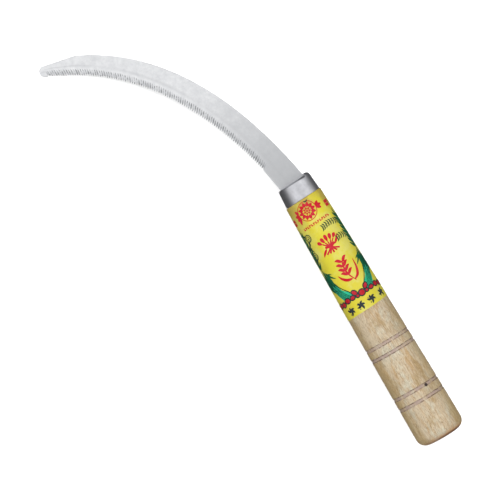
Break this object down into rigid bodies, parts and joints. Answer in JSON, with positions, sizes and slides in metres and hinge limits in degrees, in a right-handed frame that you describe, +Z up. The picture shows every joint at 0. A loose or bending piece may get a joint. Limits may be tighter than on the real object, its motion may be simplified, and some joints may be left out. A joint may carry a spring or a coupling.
{
  "type": "hand sickle",
  "caption": "Crescent hand sickle with a fine-toothed steel blade, a pressed steel cap and a turned wooden handle wrapped in a yellow paper label.",
  "frame": {"origin": "on the ground, under the middle of the bounding box of the tool as it lies on its side, on the butt of the handle and the nose of the blade", "axes": "+X along the handle's axis from the blade toward the butt, +Z up, and the toothed inner edge of the blade faces -Y"},
  "size_m": [0.3168, 0.1138, 0.031],
  "materials": {
    "blade_steel": "satin ground steel",
    "handle_wood": "bare turned wood",
    "cap_steel": "satin pressed steel",
    "label_paper": "slightly glossy printed paper",
    "nail_steel": "drawn steel wire"
  },
  "bodies": {
    "root": {"blade": "blade_steel", "handle": "handle_wood", "ferrule": "cap_steel", "label": "label_paper", "tang_pin": "nail_steel"}
  },
  "joints": []
}
